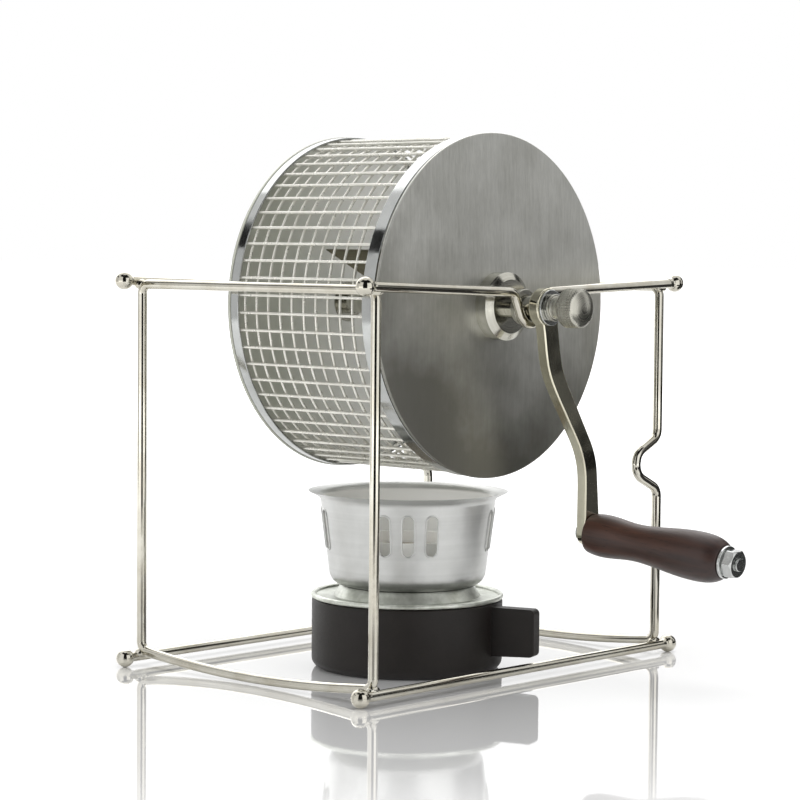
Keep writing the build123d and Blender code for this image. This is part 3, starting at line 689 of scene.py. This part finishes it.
def buildSlotLips():
    n = slotLip
    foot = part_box("windshield")[0].z
    lean = math.atan2(n["topRadius"] - n["footRadius"], n["wallHeight"])
    radius = n["footRadius"] + (n["topRadius"] - n["footRadius"]) * n["middleZ"] / n["wallHeight"]
    bend = n["width"] / 2 + n["outside"]
    straight = (n["height"] - n["width"]) * mm
    lip = bmesh.new()
    bmesh.ops.create_circle(lip, segments=n["beadSteps"], radius=n["bead"] * mm,
                            matrix=Matrix.Translation((0, bend * mm, -straight / 2)))
    ring = lip.edges[:]
    for end in (1, -1):
        grown = bmesh.ops.extrude_edge_only(lip, edges=ring)["geom"]
        bmesh.ops.translate(lip, vec=(0, 0, end * straight),
                            verts=[part for part in grown if isinstance(part, bmesh.types.BMVert)])
        ring = [part for part in grown if isinstance(part, bmesh.types.BMEdge)]
        turned = bmesh.ops.spin(lip, geom=ring, cent=(0, 0, end * straight / 2), axis=(1, 0, 0),
                                angle=math.pi, steps=n["bendSteps"])["geom_last"]
        ring = [part for part in turned if isinstance(part, bmesh.types.BMEdge)]
    bmesh.ops.remove_doubles(lip, verts=lip.verts[:], dist=n["mergeWithin"] * mm)
    bmesh.ops.recalc_face_normals(lip, faces=lip.faces[:])
    parts = []
    for groupTurn in n["groupTurns"]:
        for k in range(n["inGroup"]):
            turn = math.radians(groupTurn + (k - (n["inGroup"] - 1) / 2) * n["pitch"])
            copy = lip.copy()
            copy.transform(Matrix.Translation((burnerMiddle.x, burnerMiddle.y, foot + n["middleZ"] * mm))
                           @ Matrix.Rotation(turn, 4, "Z") @ Matrix.Translation((radius * mm, 0, 0))
                           @ Matrix.Rotation(lean, 4, "Y"))
            parts.append(copy)
    lip.free()
    makePiece("slotLips", joined(parts), "burner_cup", "spun_aluminium", (), n["sharpAngle"])


# woven pad in the fuel cup, a little crowned
wickPad = dict(footRound=0.5, crown=0.8, edge=1.6, shoulderDrop=0.1, shoulderShare=0.5, shoulderRound=2.0,
               steps=72)


def buildWick():
    n = wickPad
    low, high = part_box("wick")
    radius = (high.x - low.x) / 2 / mm
    base, top = low.z / mm, high.z / mm
    corners = [(base, 0, 0), (base, radius, n["footRound"]), (top - n["crown"], radius, n["edge"]),
               (top - n["shoulderDrop"], radius * n["shoulderShare"], n["shoulderRound"]), (top, 0, 0)]
    bm = turnedMesh(corners, n["steps"], onBurner, False)
    makePiece("wickWoven", bm, "burner_cup", "wick_pad", ["wick"])


dressSolids()
buildSoftCopies()
buildBalls()
buildSolder()
print("stand and drum dressed")
buildThumbNut()
buildGripNut()
print("crank fasteners built")
buildSlotLips()
buildWick()
print("burner built")


# floor, light and camera; the studio's sizes are in metres
studio = dict(floorHalf=14.0, floorTone=(0.92, 0.92, 0.92, 1), floorRoughness=0.03, glowNear=0.04,
              glowFar=1.0, nearReach=0.22, farReach=1.5, polishAt=(0.035, -0.105, 0), polishFull=0.14,
              polishEnd=0.24, worldForDiffuse=0.45)


def stageMesh(name, bm, finish):
    mesh = bpy.data.meshes.new(name)
    bm.to_mesh(mesh)
    bm.free()
    thing = bpy.data.objects.new(name, mesh)
    bpy.context.scene.collection.objects.link(thing)
    mesh.materials.append(finish)
    return thing


# one where a ray comes from the camera, a reflection or glass
def seenRays(tree):
    rays = addNode(tree, "ShaderNodeLightPath").outputs
    seen = mathNode(tree, "ADD", rays["Is Camera Ray"], rays["Is Glossy Ray"], True)
    return mathNode(tree, "ADD", seen, rays["Is Transmission Ray"], True)


# the floor is white and polished before the object; far away it glows and runs into the backdrop
def buildFloor():
    n = studio
    bm = bmesh.new()
    bmesh.ops.create_grid(bm, x_segments=2, y_segments=2, size=n["floorHalf"])
    finish, tree, shader, place = newFinish("floorWhite", 0.0)
    reach = vectorNode(tree, "LENGTH", place).outputs["Value"]
    glow = rangeNode(tree, reach, n["nearReach"], n["farReach"], n["glowNear"], n["glowFar"])
    feed(tree, shader, Base_Color=n["floorTone"], Roughness=n["floorRoughness"],
         Coat_Roughness=n["floorRoughness"], Emission_Color=(1, 1, 1, 1),
         Emission_Strength=mathNode(tree, "MULTIPLY", seenRays(tree), glow))
    span = vectorNode(tree, "DISTANCE", place, n["polishAt"]).outputs["Value"]
    for label, full in (("Coat Weight", 1.0), ("Specular IOR Level", 0.5)):
        polish = rangeNode(tree, span, n["polishFull"], n["polishEnd"], full, 0.0)
        tree.links.new(polish, shader.inputs[label])
    stageMesh("floor", bm, finish)


def buildWorld():
    world = bpy.data.worlds.new("whiteRoom")
    bpy.context.scene.world = world
    world.use_nodes = True
    tree = world.node_tree
    strength = rangeNode(tree, seenRays(tree), 0, 1, studio["worldForDiffuse"], 1)
    feed(tree, tree.nodes["Background"], Color=(1, 1, 1, 1), Strength=strength)


# cards that only polished metal sees: turns from +X, (radius, height) of both edges, tone at both turns
studioCards = {
    "cardFront": (-71.0, -29.0, (0.55, 0.0), (0.55, 2.0), 0.012),
    "cardRight": (22.0, 46.0, (0.55, 0.0), (0.55, 0.14), 0.012),
    "cardRightUp": (22.0, 46.0, (0.55, 0.14), (0.55, 0.44), 0.55, 0.02),
    "cardRightLow": (46.0, 66.0, (0.55, 0.0), (0.55, 0.09), 0.012),
    "cardRightMiddle": (46.0, 66.0, (0.55, 0.09), (0.55, 0.13), 0.20, 0.50),
    "cardRightEdge": (46.0, 52.0, (0.55, 0.13), (0.55, 0.44), 0.20, 0.90),
    "cardRightHigh": (52.0, 66.0, (0.55, 0.13), (0.55, 0.44), 0.90, 0.80),
    "cardRightFar": (66.0, 97.0, (0.55, 0.0), (0.55, 0.44), 0.015),
    "cardOverRight": (-29.0, 33.0, (0.55, 0.53), (0.55, 2.0), 0.015),
    "cardOverLeft": (-120.0, -71.0, (0.55, 0.62), (0.55, 2.0), 0.015),
    "cardFarLeft": (-166.0, -120.0, (3.00, 1.55), (3.00, 2.30), 0.03),
    "cardGrey": (-166.0, -120.0, (0.90, 0.0), (0.90, 0.56), 0.80),
    "cardTableNear": (28.0, 62.0, (0.185, 0.002), (0.30, 0.002), 0.03),
    "cardTable": (-4.0, 78.0, (0.30, 0.002), (0.55, 0.002), 0.06),
    "boxRight": (-22.0, 22.0, (0.60, 0.07), (0.60, 0.50), 1.3),
    "boxBack": (100.0, 190.0, (0.90, 0.37), (0.90, 2.2), 2.4),
    "boxLeft": (148.0, 194.0, (0.90, 0.0), (0.90, 0.37), 1.6),
}
cardSteps = 24
cardsFace = Vector((0, 0, 0.5))
cardsReach = 0.68


def cardMesh(fromTurn, toTurn, edges):
    bm = bmesh.new()
    bm.edges.new([bm.verts.new((radius, 0, height)) for radius, height in edges])
    bm.transform(Matrix.Rotation(fromTurn, 4, "Z"))
    bmesh.ops.spin(bm, geom=bm.verts[:] + bm.edges[:], cent=(0, 0, 0), axis=(0, 0, 1),
                   angle=toTurn - fromTurn, steps=cardSteps)
    bm.normal_update()
    away = [face for face in bm.faces if face.normal.dot(cardsFace - face.calc_center_median()) < 0]
    bmesh.ops.reverse_faces(bm, faces=away)
    return bm


# a card shows only its side towards the object; the ones on the right are clear to rays from farther off,
# so that the polished floor hardly shows them
def cardFinish(name, fromTurn, toTurn, tones):
    finish, tree, shader, place = newFinish(name, 0.0, 0.0)
    strength = tones[0]
    if len(tones) > 1:
        parts = partsOf(tree, place)
        turn = mathNode(tree, "ARCTAN2", parts["Y"], parts["X"])
        strength = rangeNode(tree, turn, fromTurn, toTurn, *tones)
    feed(tree, shader, Base_Color=(0, 0, 0, 1), Emission_Color=(1, 1, 1, 1), Emission_Strength=strength)
    clear = addNode(tree, "ShaderNodeNewGeometry").outputs["Backfacing"]
    if name.startswith("cardRight"):
        run = addNode(tree, "ShaderNodeLightPath").outputs["Ray Length"]
        clear = mathNode(tree, "MAXIMUM", clear, mathNode(tree, "GREATER_THAN", run, cardsReach))
    mix = addNode(tree, "ShaderNodeMixShader")
    tree.links.new(clear, mix.inputs[0])
    tree.links.new(shader.outputs[0], mix.inputs[1])
    tree.links.new(addNode(tree, "ShaderNodeBsdfTransparent").outputs[0], mix.inputs[2])
    tree.links.new(mix.outputs[0], tree.nodes["Material Output"].inputs["Surface"])
    finish.cycles.emission_sampling = "NONE"
    return finish


def buildCards():
    for name, (first, last, lower, upper, *tones) in studioCards.items():
        turns = math.radians(first), math.radians(last)
        card = stageMesh(name, cardMesh(*turns, (lower, upper)), cardFinish(name, *turns, tones))
        card.visible_camera = False
        card.visible_diffuse = False
        card.visible_shadow = False
        card.visible_transmission = False


# soft lamps: turn from +X, lift from the floor, distance, width, height, power
softLamps = {
    "lampLeft": (-105.0, 20.0, 1.9, 1.3, 1.0, 16.0),
    "lampRight": (5.0, 18.0, 1.9, 1.1, 0.9, 12.0),
    "lampTop": (120.0, 78.0, 1.8, 1.6, 1.6, 22.0),
}
lampsAim = Vector((0, 0, 0.1))


def buildLamps():
    for name, (turn, lift, distance, width, height, power) in softLamps.items():
        lamp = bpy.data.lights.new(name, "AREA")
        lamp.shape = "RECTANGLE"
        lamp.size = width
        lamp.size_y = height
        lamp.energy = power
        holder = bpy.data.objects.new(name, lamp)
        bpy.context.scene.collection.objects.link(holder)
        about, up = math.radians(turn), math.radians(lift)
        away = Vector((math.cos(up) * math.cos(about), math.cos(up) * math.sin(about), math.sin(up)))
        aim = away.to_track_quat("Z", "Y").to_matrix().to_4x4()
        holder.matrix_world = Matrix.Translation(lampsAim + away * distance) @ aim
        holder.visible_glossy = False


# camera fitted to the photograph: turn about the object, lift and roll in degrees
photoView = dict(spot=(0.6981, -0.7647, 0.1688), turn=42.502, lift=3.521, roll=0.485, lens=116.02,
                 sensor=36.0)


def buildCamera():
    turn, lift, roll = (math.radians(photoView[label]) for label in ("turn", "lift", "roll"))
    back = Vector((math.sin(turn) * math.cos(lift), -math.cos(turn) * math.cos(lift), math.sin(lift)))
    right = Vector((math.cos(turn), math.sin(turn), 0))
    up = back.cross(right)
    across = math.cos(roll) * right + math.sin(roll) * up
    over = math.cos(roll) * up - math.sin(roll) * right
    camera = bpy.data.objects.new("camera", bpy.data.cameras.new("camera"))
    bpy.context.scene.collection.objects.link(camera)
    camera.data.lens = photoView["lens"]
    camera.data.sensor_width = photoView["sensor"]
    turned = Matrix((across, over, back)).transposed().to_4x4()
    camera.matrix_world = Matrix.Translation(photoView["spot"]) @ turned
    bpy.context.scene.camera = camera


buildFloor()
buildWorld()
buildCards()
buildLamps()
buildCamera()
bpy.context.scene.view_settings.view_transform = "Standard"
print("studio set")
